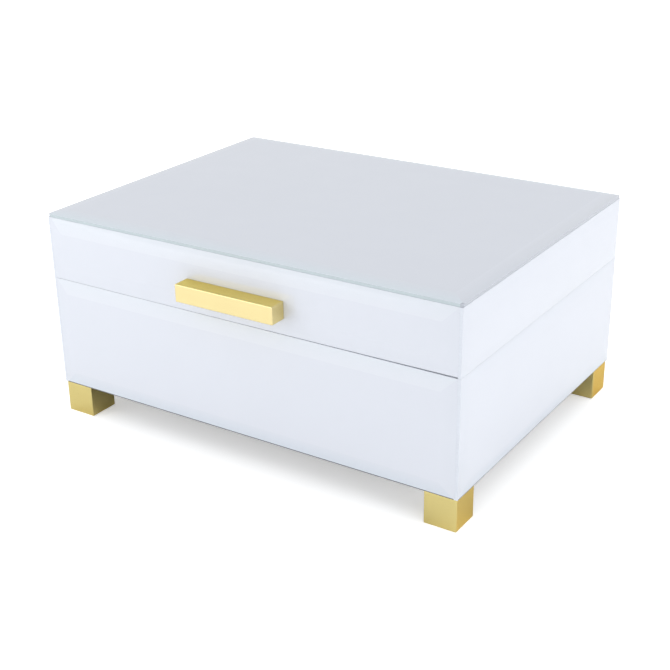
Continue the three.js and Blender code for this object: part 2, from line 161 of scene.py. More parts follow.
# The feet's gold is a darker copy of the bar's: painted shade, for the shaded floor near the box that the
# feet reflect.
SHADED_FOOT_GOLD = (0.745, 0.62, 0.25)
SHADED_FOOT_GOLD_EDGE = (0.95, 0.65, 0.35)
STEEL = (0.56, 0.56, 0.55)
VELVET = (0.70, 0.655, 0.58)
VELVET_SHADE = (0.59, 0.545, 0.47)
FELT = (0.17, 0.165, 0.16)
FELT_SHADE = (0.12, 0.115, 0.11)
BOARD_BROWN = (0.36, 0.24, 0.13)
FLOOR_WHITE = (0.93, 0.93, 0.93)
FLOOR_REACH = 6.0
WORLD_COLOUR = (0.95, 0.97, 1.0, 1.0)
WORLD_STRENGTH = 0.865
# These whiten the floor and the backdrop as the camera sees them, and add no light to the object.
FLOOR_LIFT = 0.38
BACKDROP_LIFT = 0.35


# ---- node helpers ----

class Tree:
    """A material's node tree, with short calls for the nodes that the materials share."""

    def __init__(self, name):
        self.material = bpy.data.materials.new(name)
        self.material.use_nodes = True
        self.nodes = self.material.node_tree.nodes
        self.links = self.material.node_tree.links
        self.shader = self.nodes["Principled BSDF"]

    def add(self, kind, settings=None, **values):
        """A new node. An underscore in a socket's name stands for a space."""
        made = self.nodes.new(kind)
        for key, value in (settings or {}).items():
            setattr(made, key, value)
        for key, value in values.items():
            self.feed(value, made.inputs[key.replace("_", " ")])
        return made

    def feed(self, value, socket):
        """Links another node's output to a socket, or sets the socket's own value."""
        if isinstance(value, bpy.types.NodeSocket):
            self.links.new(value, socket)
        elif isinstance(value, tuple) and len(value) == 3 and socket.type == "RGBA":
            socket.default_value = (*value, 1.0)
        else:
            socket.default_value = value

    def set(self, **values):
        """Feeds the surface shader's sockets."""
        for key, value in values.items():
            self.feed(value, self.shader.inputs[key.replace("_", " ")])

    def place(self, scale=(1, 1, 1)):
        """Object coordinates, stretched along each axis."""
        coordinates = self.add("ShaderNodeTexCoord").outputs["Object"]
        return self.add("ShaderNodeMapping", Vector=coordinates, Scale=scale).outputs["Vector"]

    def noise(self, scale, detail=2.0, roughness=0.5, vector=None):
        made = self.add("ShaderNodeTexNoise", Scale=scale, Detail=detail, Roughness=roughness)
        self.feed(vector or self.place(), made.inputs["Vector"])
        return made.outputs["Fac"]

    def ramp(self, value, low, high, out_low=0.0, out_high=1.0):
        """Maps low to high onto another range, and holds its ends outside it."""
        made = self.add(
            "ShaderNodeMapRange", Value=value, From_Min=low, From_Max=high, To_Min=out_low, To_Max=out_high,
        )
        return made.outputs["Result"]

    def mix(self, factor, first, second):
        made = self.add("ShaderNodeMix", {"data_type": "RGBA"})
        self.feed(factor, made.inputs[0])
        self.feed(first, made.inputs[6])
        self.feed(second, made.inputs[7])
        return made.outputs[2]

    def maths(self, operation, first, second=0.0):
        made = self.add("ShaderNodeMath", {"operation": operation})
        self.feed(first, made.inputs[0])
        self.feed(second, made.inputs[1])
        return made.outputs[0]

    def bump(self, height, distance, strength=1.0, normal=None):
        """Gives the surface a relief, on top of an earlier one if there is one."""
        made = self.add("ShaderNodeBump", Height=height, Distance=distance, Strength=strength)
        if normal is not None:
            self.feed(normal, made.inputs["Normal"])
        self.set(Normal=made.outputs["Normal"])
        return made.outputs["Normal"]


# ---- materials ----

def scaled(colour, share):
    """A colour times a number, or times three numbers."""
    shares = share if isinstance(share, tuple) else (share, share, share)
    return tuple(min(1.0, c * part) for c, part in zip(colour, shares))


def painted_glass(name, inner=(1.0, 1.0, 1.0), outer=(1.0, 1.0, 1.0), bare_and_shadow_line=False):
    """Paint seen through a polished sheet: a matt coloured layer under a clear gloss one.

    The rim attribute is 0 from the bevel's inner line inwards and 1 at the panel's edge; inner and
    outer scale the paint's tone across it with painted reflection and shade. A bare line is the last
    strip at the edge, left unpainted and painted near black as the contact shadow under the glass.
    """
    tree = Tree(name)
    rim = tree.add("ShaderNodeAttribute", {"attribute_name": "rim"}).outputs["Fac"]
    paint = tree.mix(rim, scaled(PAINT, inner), scaled(PAINT, outer))
    if bare_and_shadow_line:
        # Painted shade: the last strip of the lowest bevels turns near black, as the contact shadow under
        # the glass.
        paint = tree.mix(tree.ramp(rim, *BARE_AND_SHADOW_LINE), paint, BARE_GLASS_AND_SHADOW)
    cloud = tree.ramp(tree.noise(14.0, detail=3.0), 0.35, 0.65)
    tree.set(Base_Color=tree.mix(tree.maths("MULTIPLY", cloud, 0.05), paint, PAINT_CLOUD))
    tree.set(Roughness=tree.ramp(tree.noise(60.0), 0.3, 0.7, 0.30, 0.38))
    tree.set(Coat_Weight=1.0, Coat_Roughness=0.015, Coat_IOR=1.52, IOR=1.35)
    ripple = tree.noise(9.0, detail=1.0)
    tree.bump(ripple, 0.02 * MM, strength=0.35)
    return tree.material


def ground_edge(name, tint):
    """The cut edge of the glass, with the fine drag lines of its grinding."""
    tree = Tree(name)
    drag = tree.noise(900.0, detail=2.0, vector=tree.place(scale=(0.15, 0.15, 3.0)))
    tone = tree.mix(tree.ramp(drag, 0.3, 0.7), tuple(c * 0.94 for c in tint), tint)
    tree.set(Base_Color=tone, Roughness=0.22, Coat_Weight=0.6, Coat_Roughness=0.08, IOR=1.5)
    tree.bump(drag, 0.03 * MM, strength=0.4)
    return tree.material


def polished_gold(name, roughness, colour=GOLD, edge_colour=GOLD_EDGE):
    """Gold-plated metal: hairline polishing marks, soft cloudy wear, deeper at a glancing angle."""
    tree = Tree(name)
    hairs = tree.noise(700.0, detail=3.0, vector=tree.place(scale=(0.05, 1.0, 1.0)))
    cloud = tree.noise(45.0, detail=3.0)
    tree.set(Metallic=1.0, Specular_Tint=edge_colour)
    tree.set(Base_Color=tree.mix(tree.ramp(cloud, 0.3, 0.7), tuple(c * 0.965 for c in colour), colour))
    smear = tree.maths("MULTIPLY", tree.ramp(cloud, 0.3, 0.75), 0.05)
    tree.set(Roughness=tree.maths("ADD", tree.ramp(hairs, 0.3, 0.7, roughness, roughness + 0.05), smear))
    tree.bump(hairs, 0.004 * MM, strength=0.5)
    return tree.material


def plated_steel(name):
    """Dull plated steel with fine turning marks."""
    tree = Tree(name)
    turned = tree.noise(1500.0, detail=2.0, vector=tree.place(scale=(1.0, 1.0, 0.2)))
    tree.set(Metallic=1.0, Base_Color=tree.mix(turned, tuple(c * 0.85 for c in STEEL), STEEL))
    tree.set(Roughness=tree.ramp(turned, 0.3, 0.7, 0.24, 0.38))
    tree.bump(turned, 0.01 * MM, strength=0.4)
    return tree.material


def velvet(name, colour=VELVET, shade=VELVET_SHADE):
    """Short-pile velvet: leaning pile in soft patches, single fibres as fine grain, and a pale sheen."""
    tree = Tree(name)
    patch = tree.noise(38.0, detail=4.0, roughness=0.6)
    pile = tree.noise(1900.0, detail=3.0, roughness=0.75)
    lean = tree.ramp(patch, 0.32, 0.68)
    grain = tree.ramp(pile, 0.25, 0.75)
    base = tree.mix(lean, shade, colour)
    tree.set(Base_Color=tree.mix(tree.maths("MULTIPLY", grain, 0.36), base, tuple(c * 0.55 for c in shade)))
    tree.set(Roughness=tree.ramp(patch, 0.3, 0.7, 0.82, 0.95))
    tree.set(Sheen_Weight=0.55, Sheen_Roughness=0.35, Sheen_Tint=(1.0, 0.97, 0.92))
    tree.set(Specular_IOR_Level=0.15)
    coarse = tree.bump(patch, 0.25 * MM, strength=0.35)
    tree.bump(pile, 0.22 * MM, strength=0.9, normal=coarse)
    return tree.material


def silvered_glass(name):
    """A mirror with a trace of haze."""
    tree = Tree(name)
    haze = tree.noise(30.0, detail=4.0)
    tree.set(Metallic=1.0, Base_Color=tree.mix(haze, (0.86, 0.88, 0.88), (0.9, 0.915, 0.91)))
    tree.set(Roughness=tree.ramp(haze, 0.4, 0.8, 0.006, 0.03))
    return tree.material


def fibreboard(name):
    """Raw pressed board: cloudy brown with pale flecks of fibre."""
    tree = Tree(name)
    fleck = tree.noise(1400.0, detail=4.0, roughness=0.7)
    cloud = tree.noise(90.0, detail=3.0)
    base = tree.mix(tree.ramp(cloud, 0.3, 0.7), tuple(c * 0.85 for c in BOARD_BROWN), BOARD_BROWN)
    tree.set(Base_Color=tree.mix(tree.ramp(fleck, 0.45, 0.75), base, tuple(c * 1.5 for c in BOARD_BROWN)))
    tree.set(Roughness=tree.ramp(fleck, 0.3, 0.7, 0.75, 0.9))
    tree.bump(fleck, 0.08 * MM, strength=0.5)
    return tree.material


def satin_ribbon(name):
    """Woven ribbon: ribs across its width."""
    tree = Tree(name)
    ribs = tree.add("ShaderNodeTexWave", {"bands_direction": "Z"}, Vector=tree.place(), Scale=420.0)
    fuzz = tree.noise(2500.0)
    ribbon = tree.mix(tree.ramp(ribs.outputs["Fac"], 0.0, 1.0), VELVET_SHADE, VELVET)
    tree.set(Base_Color=tree.mix(tree.maths("MULTIPLY", fuzz, 0.25), ribbon, (0.4, 0.36, 0.3)))
    tree.set(Roughness=tree.ramp(fuzz, 0.3, 0.7, 0.42, 0.6), Sheen_Weight=0.3)
    tree.bump(ribs.outputs["Fac"], 0.12 * MM, strength=0.6)
    return tree.material


def pale_floor(name):
    """A matt white floor."""
    tree = Tree(name)
    speck = tree.noise(300.0, detail=2.0)
    tree.set(Base_Color=tree.mix(speck, FLOOR_WHITE, tuple(c * 0.995 for c in FLOOR_WHITE)))
    tree.set(Roughness=0.75, Specular_IOR_Level=0.2)
    seen = tree.add("ShaderNodeLightPath").outputs["Is Camera Ray"]
    tree.set(Emission_Color=(1.0, 1.0, 1.0), Emission_Strength=tree.maths("MULTIPLY", seen, FLOOR_LIFT))
    return tree.material


GLASS_FACE = painted_glass("glass_face")
# Each kind of bevel has its own copy of the paint, carrying that bevel's painted reflection and shade.
GLASS_BEVELS = {
    kind: painted_glass(f"glass_bevel_{kind}", *shifts, bare_and_shadow_line=kind == "lowest")
    for kind, shifts in BEVEL_PAINTED_LIGHT.items()
}
SIDE_GLASS_EDGE = ground_edge("side_glass_edge", SIDE_EDGE)
TOP_GLASS_LONG_EDGE = ground_edge("top_glass_long_edge", TOP_LONG_EDGE)
TOP_GLASS_SHORT_EDGE = ground_edge("top_glass_short_edge", TOP_SHORT_EDGE_AND_SHADE)
GOLD_BAR = polished_gold("gold_bar", 0.10)
GOLD_FOOT_SHADED = polished_gold("gold_foot_shaded", 0.12, SHADED_FOOT_GOLD, SHADED_FOOT_GOLD_EDGE)
GOLD_SMALL = polished_gold("gold_hinge", 0.18)
STEEL_PART = plated_steel("steel_part")
VELVET_CLOTH = velvet("velvet_cloth")
FELT_CLOTH = velvet("felt_cloth", FELT, FELT_SHADE)
MIRROR_GLASS = silvered_glass("mirror_glass")
BOARD_MATERIAL = fibreboard("fibreboard_raw")
RIBBON = satin_ribbon("ribbon")
FLOOR = pale_floor("pale_floor")


# ---- mesh helpers ----

def merged_copy(node):
    """A bmesh of a CAD node with its split corners welded and its flat faces made whole."""
    mesh = bmesh.new()
    mesh.from_mesh(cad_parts[node].data)
    bmesh.ops.remove_doubles(mesh, verts=mesh.verts, dist=WELD)
    bmesh.ops.dissolve_limit(mesh, angle_limit=math.radians(1.0), verts=mesh.verts, edges=mesh.edges)
    return mesh


def grow(mesh, low=(0, 0, 0), high=(0, 0, 0)):
    """Moves a box-like mesh's outer faces outwards by these amounts, to close its glue lines."""
    for axis in range(3):
        places = [vert.co[axis] for vert in mesh.verts]
        least = min(places)
        most = max(places)
        for vert in mesh.verts:
            if vert.co[axis] < least + SKIN:
                vert.co[axis] -= low[axis]
            elif vert.co[axis] > most - SKIN:
                vert.co[axis] += high[axis]


def round_arrises(mesh, radius, segments, left_sharp=lambda edge: False):
    """Rounds every sharp edge but those left sharp, which are then shaded as sharp."""
    sharp = [
        edge for edge in mesh.edges
        if edge.is_manifold and edge.calc_face_angle() > SHARP_ANGLE and not left_sharp(edge)
    ]
    bmesh.ops.bevel(
        mesh, geom=sharp, offset=radius, offset_type="OFFSET", segments=segments,
        profile=0.5, affect="EDGES", clamp_overlap=True,
    )
    bmesh.ops.remove_doubles(mesh, verts=mesh.verts, dist=WELD)
    bmesh.ops.dissolve_degenerate(mesh, dist=WELD, edges=mesh.edges)
    for edge in mesh.edges:
        edge.smooth = not (edge.is_manifold and edge.calc_face_angle() > SHARP_ANGLE)


def new_piece(name, mesh, materials, smooth=True):
    """An object made from a bmesh, which is used up."""
    data = bpy.data.meshes.new(name)
    mesh.normal_update()
    mesh.to_mesh(data)
    mesh.free()
    for material in materials:
        data.materials.append(material)
    if smooth:
        data.polygons.foreach_set("use_smooth", [True] * len(data.polygons))
    piece = bpy.data.objects.new(name, data)
    bpy.context.scene.collection.objects.link(piece)
    return piece


def weighted(piece):
    """Keeps flat faces flat when their rounded edges are shaded smooth."""
    modifier = piece.modifiers.new("weighted", "WEIGHTED_NORMAL")
    modifier.keep_sharp = True
    modifier.weight = 100


def stand_for(piece, node, body):
    """Makes a piece ride on its body in place of a CAD node, which it hides."""
    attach(piece, body)
    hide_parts(node)


def rounded_copy(node, radius, material, body, segments=3, low=(0, 0, 0), high=(0, 0, 0)):
    """A CAD node's shape with its glue lines closed and its arrises rounded."""
    mesh = merged_copy(node)
    grow(mesh, low, high)
    round_arrises(mesh, radius, segments)
    piece = new_piece(node + "_look", mesh, [material])
    weighted(piece)
    stand_for(piece, node, body)


def ring_face_strip(mesh, first, second):
    """Joins two rings of the same number of points with quads."""
    count = len(first)
    for i in range(count):
        mesh.faces.new((first[i], first[(i + 1) % count], second[(i + 1) % count], second[i]))


# ---- glass panels ----

LONG_EDGE = 1  # a panel's material slots; its face has slot 0
SHORT_EDGE = 2
FIRST_BEVEL = 3
FLAT = 0.999  # how directly a panel's face and its bevels face outwards
TILTED = 0.9
BOW_CUTS = (-0.4, 0.0, 0.3, 0.6, 0.8)  # shares of the half width


def bevel_kind(side, body, normal):
    """Which way a bevel faces, seen on its panel."""
    if side == "top":
        return "top_long" if abs(normal.y) > 0.1 else "top_short"
    if body == "base" and normal.z < -0.1:
        return "lowest"
    if side in ("front", "back") and normal.z > 0.1:
        return "upper"
    return "upright"


def mark_rim(mesh, outward):
    """Stores how far out each point lies on its bevel, where the painted reflection and shade change across
    it.
    """
    layer = mesh.verts.layers.float.new("rim")
    across = [axis for axis in range(3) if abs(outward[axis]) < 0.5]
    spans = {}
    for axis in across:
        places = [vert.co[axis] for vert in mesh.verts]
        spans[axis] = (min(places), max(places))
    for vert in mesh.verts:
        inset = min(
            min(vert.co[axis] - spans[axis][0], spans[axis][1] - vert.co[axis]) for axis in across
        )
        vert[layer] = max(0.0, 1.0 - inset / BEVEL_WIDTH)


def bow_lower_edge(mesh, half_width):
    """Glass is never quite true: the seam under the lid's front panel opens towards the right."""
    for share in BOW_CUTS:
        everything = list(mesh.verts) + list(mesh.edges) + list(mesh.faces)
        bmesh.ops.bisect_plane(
            mesh, geom=everything, dist=WELD / 2, plane_co=(share * half_width, 0, 0), plane_no=(1, 0, 0),
        )
    lowest = min(vert.co.z for vert in mesh.verts)
    for vert in mesh.verts:
        if vert.co.z < lowest + SKIN:
            along = (vert.co.x / half_width + 1) / 2
            vert.co.z += SEAM_RISE * along ** 3 - SEAM_DROP


def sort_faces(mesh, side, body):
    """Gives a panel's face, its bevels and its cut edges their own material slots."""
    outward = OUTWARD[side]
    kinds = list(GLASS_BEVELS)
    for face in mesh.faces:
        facing = face.normal.dot(outward)
        if abs(facing) > FLAT:
            face.material_index = 0
        elif facing > TILTED:
            face.material_index = FIRST_BEVEL + kinds.index(bevel_kind(side, body, face.normal))
        else:
            face.material_index = SHORT_EDGE if side == "top" and abs(face.normal.x) > 0.5 else LONG_EDGE


def round_corners(mesh):
    """Rounds the top panel's four corners, as seen from above."""
    corners = [
        edge for edge in mesh.edges
        if abs(edge.verts[0].co.z - edge.verts[1].co.z) > MM and edge.calc_face_angle() > SHARP_ANGLE
    ]
    bmesh.ops.bevel(
        mesh, geom=corners, offset=CORNER_RADIUS, offset_type="OFFSET", segments=6,
        profile=0.5, affect="EDGES", clamp_overlap=True, material=SHORT_EDGE,
    )


def glass_panel(node, side, body, low=(0, 0, 0), high=(0, 0, 0)):
    """A bevelled panel: paint behind its face and its bevels, and a cut edge all round."""
    mesh = merged_copy(node)
    grow(mesh, low, high)
    sort_faces(mesh, side, body)
    outward = OUTWARD[side]
    half_width = max(vert.co.x for vert in mesh.verts)
    if node == "lid_glass_front":
        bow_lower_edge(mesh, half_width)
    if side == "top":
        round_corners(mesh)
    back = min(vert.co.dot(outward) for vert in mesh.verts)

    def glued(edge):
        behind = all(vert.co.dot(outward) < back + TOUCHING for vert in edge.verts)
        at_end = all(abs(vert.co.x) > half_width - TOUCHING for vert in edge.verts)
        return behind or (at_end and side in ("front", "back"))

    round_arrises(mesh, ARRIS, 2, glued)
    mark_rim(mesh, outward)
    top_edges = [TOP_GLASS_LONG_EDGE, TOP_GLASS_SHORT_EDGE]
    edges = top_edges if side == "top" else [SIDE_GLASS_EDGE, SIDE_GLASS_EDGE]
    piece = new_piece(node + "_look", mesh, [GLASS_FACE, *edges, *GLASS_BEVELS.values()])
    weighted(piece)
    stand_for(piece, node, body)


def glass_panels():
    """The front and back panels fit between the side panels, and their ends close up to them."""
    for side in SIDES:
        long_side = side in ("front", "back")
        ends = CLOSE if long_side else 0
        seam = 0 if long_side else SIDE_CLOSE
        glass_panel(f"base_glass_{side}", side, "base", low=(ends, 0, 0), high=(ends, 0, 0))
        glass_panel(f"lid_glass_{side}", side, "lid", low=(ends, 0, seam), high=(ends, 0, LID_CLOSE))
    glass_panel("lid_glass_top", "top", "lid")


# ---- metal ----

def feet_and_handle():
    """Solid metal blocks with slightly eased edges."""
    for corner in ("front_left", "front_right", "back_left", "back_right"):
        # The feet take the darker copy of the gold, painted shade for the floor they reflect.
        rounded_copy(f"foot_{corner}", METAL_ROUND, GOLD_FOOT_SHADED, "base")
    rounded_copy("handle_bar", METAL_ROUND, GOLD_BAR, "lid", high=(0, CLOSE, 0))


def hinges():
    """Two leaves and a pin for each hinge."""
    for side in ("left", "right"):
        for body in ("base", "lid"):
            node = f"hinge_leaf_{body}_{side}"
            rounded_copy(node, HINGE_ROUND, GOLD_SMALL, body, segments=2)
        rounded_copy(f"hinge_pin_{side}", PIN_ROUND, STEEL_PART, "base")


def threaded_screw(head_radius, length):
    """A countersunk screw along Z with its head at the top, at z = 0, and its thread cut as a helix."""
    head_height = SCREW_HEAD_HEIGHT * head_radius
    shank = SCREW_SHANK * head_radius
    pitch = THREAD_PITCH * head_radius
    mesh = bmesh.new()

    def ring(z, radius_at):
        """Points round the axis, each at its own radius. A turn runs from 0 to 1."""
        turns = [i / SCREW_SIDES for i in range(SCREW_SIDES)]
        return [
            mesh.verts.new((
                radius_at(turn) * math.cos(2 * math.pi * turn),
                radius_at(turn) * math.sin(2 * math.pi * turn),
                z,
            ))
            for turn in turns
        ]

    rings = [
        ring(height * head_radius, lambda turn: radius * head_radius)
        for height, radius in SCREW_HEAD_PROFILE
    ]
    steps = int((length - head_height) / (pitch / THREAD_RINGS))
    for step in range(1, steps + 1):
        z = -head_height - (length - head_height) * step / steps
        taper = min(1.0, TIP_POINT + (1.0 - TIP_POINT) * (length + z) / (TIP_LENGTH * length))

        def thread(turn):
            ridge = 1.0 - abs(2.0 * ((-z / pitch - turn) % 1.0) - 1.0)
            return shank * taper * (THREAD_ROOT + THREAD_DEPTH * ridge)

        rings.append(ring(z, thread))
    for upper, lower in zip(rings, rings[1:]):
        ring_face_strip(mesh, lower, upper)
    mesh.faces.new(rings[0])
    mesh.faces.new(list(reversed(rings[-1])))
    bmesh.ops.recalc_face_normals(mesh, faces=mesh.faces)
    return mesh


def cross_cutter(head_radius):
    """The two crossed wedges of a Phillips recess, each narrowing downwards."""
    mesh = bmesh.new()
    for turn in (0, math.pi / 2):
        reach = Vector((math.cos(turn), math.sin(turn), 0))
        across = Vector((-reach.y, reach.x, 0))
        layers = []
        for height, far, half in RECESS_LAYERS:
            corners = [(-far, -half), (far, -half), (far, half), (-far, half)]
            up = Vector((0, 0, height))
            layers.append([mesh.verts.new((reach * u + across * v + up) * head_radius) for u, v in corners])
        ring_face_strip(mesh, layers[1], layers[0])
        mesh.faces.new(layers[0])
        mesh.faces.new(list(reversed(layers[1])))
    bmesh.ops.recalc_face_normals(mesh, faces=mesh.faces)
    return mesh


def cut_screw_mesh(name, head_radius, length):
    """The finished screw as mesh data, its recess cut into its head."""
    blank = new_piece(name, threaded_screw(head_radius, length), [STEEL_PART])
    cutter = new_piece(name + "_cutter", cross_cutter(head_radius), [STEEL_PART])
    modifier = blank.modifiers.new("recess", "BOOLEAN")
    modifier.operation = "DIFFERENCE"
    modifier.solver = "EXACT"
    modifier.use_self = True
    modifier.object = cutter
    finished = blank.evaluated_get(bpy.context.evaluated_depsgraph_get())
    data = bpy.data.meshes.new_from_object(finished)
    data.name = name
    bpy.data.objects.remove(cutter)
    bpy.data.objects.remove(blank)
    return data


def screws():
    """Every screw, with its head at the end that its hole is countersunk at."""
    heads = {
        "foot_screw": (0, 0, 1),
        "handle_screw": (0, 1, 0),
        "hinge_screw_base": (0, 0, 1),
        "hinge_screw_lid": (0, 0, -1),
    }
    for kind, outward in heads.items():
        head = Vector(outward)
        nodes = [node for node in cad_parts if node.startswith(kind)]
        low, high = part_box(nodes[0])
        length = abs((high - low).dot(head))
        head_radius = (high.x - low.x) / 2
        data = cut_screw_mesh(kind + "_mesh", head_radius, length)
        gold = kind.startswith("hinge")
        if gold:
            data.materials[0] = GOLD_SMALL
        body = "lid" if kind in ("handle_screw", "hinge_screw_lid") else "base"
        for index, node in enumerate(sorted(nodes)):
            low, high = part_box(node)
            middle = (low + high) / 2
            turned = Matrix.Rotation(SCREW_TURN * index, 4, "Z")
            aimed = head.to_track_quat("Z", "Y").to_matrix().to_4x4()
            placed = Matrix.Translation(middle + head * (length / 2)) @ aimed @ turned
            piece = bpy.data.objects.new(node + "_look", data.copy())
            piece.data.transform(placed)
            bpy.context.scene.collection.objects.link(piece)
            stand_for(piece, node, body)


# ---- velvet-covered boards ----

def wrapped_board(node, body, hidden, low, high):
    """A carcass board with velvet wrapped over its inner face and its rim, bare where it is glued."""
    mesh = merged_copy(node)
    grow(mesh, low, high)
    for face in mesh.faces:
        face.material_index = 1 if face.normal.dot(hidden) > 0.9 else 0
    round_arrises(mesh, WRAP_ROUND, segments=3)
    piece = new_piece(node + "_look", mesh, [VELVET_CLOTH, BOARD_MATERIAL])
    weighted(piece)
    stand_for(piece, node, body)


def carcass():
    """The boards that the glass is glued to, the box's felted underside and the lid's bare top board."""
    for side in SIDES:
        outward = OUTWARD[side]
        outer_low = [CLOSE if outward[axis] < 0 else 0 for axis in range(3)]
        outer_high = [CLOSE if outward[axis] > 0 else 0 for axis in range(3)]
        if side in ("left", "right"):
            outer_low[1] = CLOSE
            outer_high[1] = CLOSE
        for body in ("base", "lid"):
            wrapped_board(f"{body}_board_{side}", body, outward, outer_low, outer_high)
    glued_all_round = (CLOSE, CLOSE, 0)
    rounded_copy("base_board_bottom", BOARD_ROUND, FELT_CLOTH, "base",
                 low=glued_all_round, high=glued_all_round)
    rounded_copy("lid_board_top", BOARD_ROUND, BOARD_MATERIAL, "lid")


def velvet_piece(node, radius, body, low=(0, 0, 0), high=(0, 0, 0)):
    """A lining or tray board that velvet covers on every side."""
    rounded_copy(node, radius, VELVET_CLOTH, body, low=low, high=high)


def base_lining():
    """The rails that the tray rests on, and the divider below it."""
    velvet_piece("tray_rail_left", RAIL_ROUND, "base", low=(CLOSE, CLOSE, 0), high=(0, CLOSE, 0))
    velvet_piece("tray_rail_right", RAIL_ROUND, "base", low=(0, CLOSE, 0), high=(CLOSE, CLOSE, 0))
    velvet_piece("base_divider", DIVIDER_ROUND, "base", low=(0, CLOSE, CLOSE), high=(0, CLOSE, 0))


def tray_boards():
    """The tray's floor and walls, a divider behind the ring rolls, and a short one between two bins."""
    velvet_piece("tray_floor", TRAY_FLOOR_ROUND, "tray")
    for side in ("front", "back"):
        velvet_piece(f"tray_wall_{side}", TRAY_ROUND, "tray", low=(0, 0, CLOSE))
    for side in ("left", "right"):
        velvet_piece(f"tray_wall_{side}", TRAY_ROUND, "tray", low=(0, CLOSE, CLOSE), high=(0, CLOSE, 0))
    velvet_piece("tray_divider_long", TRAY_ROUND, "tray", low=(CLOSE, 0, CLOSE), high=(CLOSE, 0, 0))
    velvet_piece("tray_divider_short", TRAY_ROUND, "tray", low=(0, CLOSE, CLOSE), high=(0, CLOSE, 0))


# ---- pads, swollen as cloth ----

def slab(low, high, held):
    """A thin closed pad of two dense sheets, and the points that its stitches and glue hold."""
    columns = round((high.x - low.x) / PAD_PITCH)
    rows = round((high.y - low.y) / PAD_PITCH)
    mesh = bmesh.new()

    def sheet_at(z):
        return [
            [
                mesh.verts.new((
                    low.x + (high.x - low.x) * i / columns,
                    low.y + (high.y - low.y) * j / rows,
                    z,
                ))
                for i in range(columns + 1)
            ]
            for j in range(rows + 1)
        ]

    sheets = [sheet_at(low.z), sheet_at(high.z)]
    for sheet in sheets:
        for j in range(rows):
            for i in range(columns):
                mesh.faces.new((sheet[j][i], sheet[j][i + 1], sheet[j + 1][i + 1], sheet[j + 1][i]))
    edges = [outline(sheet, columns, rows) for sheet in sheets]
    ring_face_strip(mesh, edges[0], edges[1])
    bmesh.ops.recalc_face_normals(mesh, faces=mesh.faces)
    mesh.verts.index_update()
    rim = {vert.index for edge in edges for vert in edge}
    pins = [vert.index for vert in mesh.verts if vert.index in rim or held(vert.co)]
    return mesh, pins


def outline(sheet, columns, rows):
    """The points round a grid's edge, in order."""
    ring = list(sheet[0][:columns])
    ring += [sheet[j][columns] for j in range(rows)]
    ring += [sheet[rows][i] for i in range(columns, 0, -1)]
    ring += [sheet[j][0] for j in range(rows, 0, -1)]
    return ring


def swell(piece, reach, pins=()):
    """Inflates a closed piece as cloth under pressure, then scales the movement down to reach."""
    cloth = piece.modifiers.new("cloth", "CLOTH")
    cloth.settings.use_pressure = True
    cloth.settings.uniform_pressure_force = CLOTH_PRESSURE
    cloth.settings.effector_weights.gravity = 0.0
    if pins:
        group = piece.vertex_groups.new(name="held")
        group.add(list(pins), 1.0, "REPLACE")
        cloth.settings.vertex_group_mass = "held"
    scene = bpy.context.scene
    for moment in range(1, CLOTH_FRAMES + 1):
        scene.frame_set(moment)
    settled = piece.evaluated_get(bpy.context.evaluated_depsgraph_get()).data
    moves = [after.co - before.co for before, after in zip(piece.data.vertices, settled.vertices)]
    share = min(1.0, reach / max(move.length for move in moves))
    places = [vert.co + move * share for vert, move in zip(piece.data.vertices, moves)]
    piece.modifiers.remove(cloth)
    for vert, co in zip(piece.data.vertices, places):
        vert.co = co
    scene.frame_set(1)


def soften(piece, unevenness):
    """A slightly uneven surface, as stuffing gives, and one subdivision."""
    for vert in piece.data.vertices:
        wander = noise.noise(vert.co / UNEVEN_SPACING)
        vert.co += vert.normal * (wander * unevenness)
    modifier = piece.modifiers.new("smooth", "SUBSURF")
    modifier.levels = 1
    modifier.render_levels = 1


def floor_pad():
    """The base's padded floor, pressed down along the line where the divider stands."""
    low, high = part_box("base_floor_pad")
    divider_low, divider_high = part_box("base_divider")
    top = high.z - PAD_CROWN

    def held(co):
        glued = co.z < top - TOUCHING
        under_divider = divider_low.x - MM < co.x < divider_high.x + MM
        return glued or under_divider

    mesh, pins = slab(low, Vector((high.x, high.y, top)), held)
    piece = new_piece("base_floor_pad_look", mesh, [VELVET_CLOTH])
    swell(piece, PAD_CROWN, pins)
    soften(piece, PAD_UNEVEN)
    stand_for(piece, "base_floor_pad", "base")


def lid_lining():
    """A padded lining with its stuffing round the mirror, which presses its middle flat."""
    low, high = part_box("lid_lining")
    mirror_low, mirror_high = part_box("lid_mirror")
    upper = Vector((high.x + CLOSE, high.y + CLOSE, high.z))
    lower = Vector((low.x - CLOSE, low.y - CLOSE, low.z))

    def held(co):
        glued = co.z > high.z - TOUCHING
        behind_mirror = mirror_low.x < co.x < mirror_high.x and mirror_low.y < co.y < mirror_high.y
        return glued or behind_mirror

    mesh, pins = slab(lower, upper, held)
    piece = new_piece("lid_lining_look", mesh, [VELVET_CLOTH])
    swell(piece, LINING_CROWN, pins)
    soften(piece, LINING_UNEVEN)
    stand_for(piece, "lid_lining", "lid")


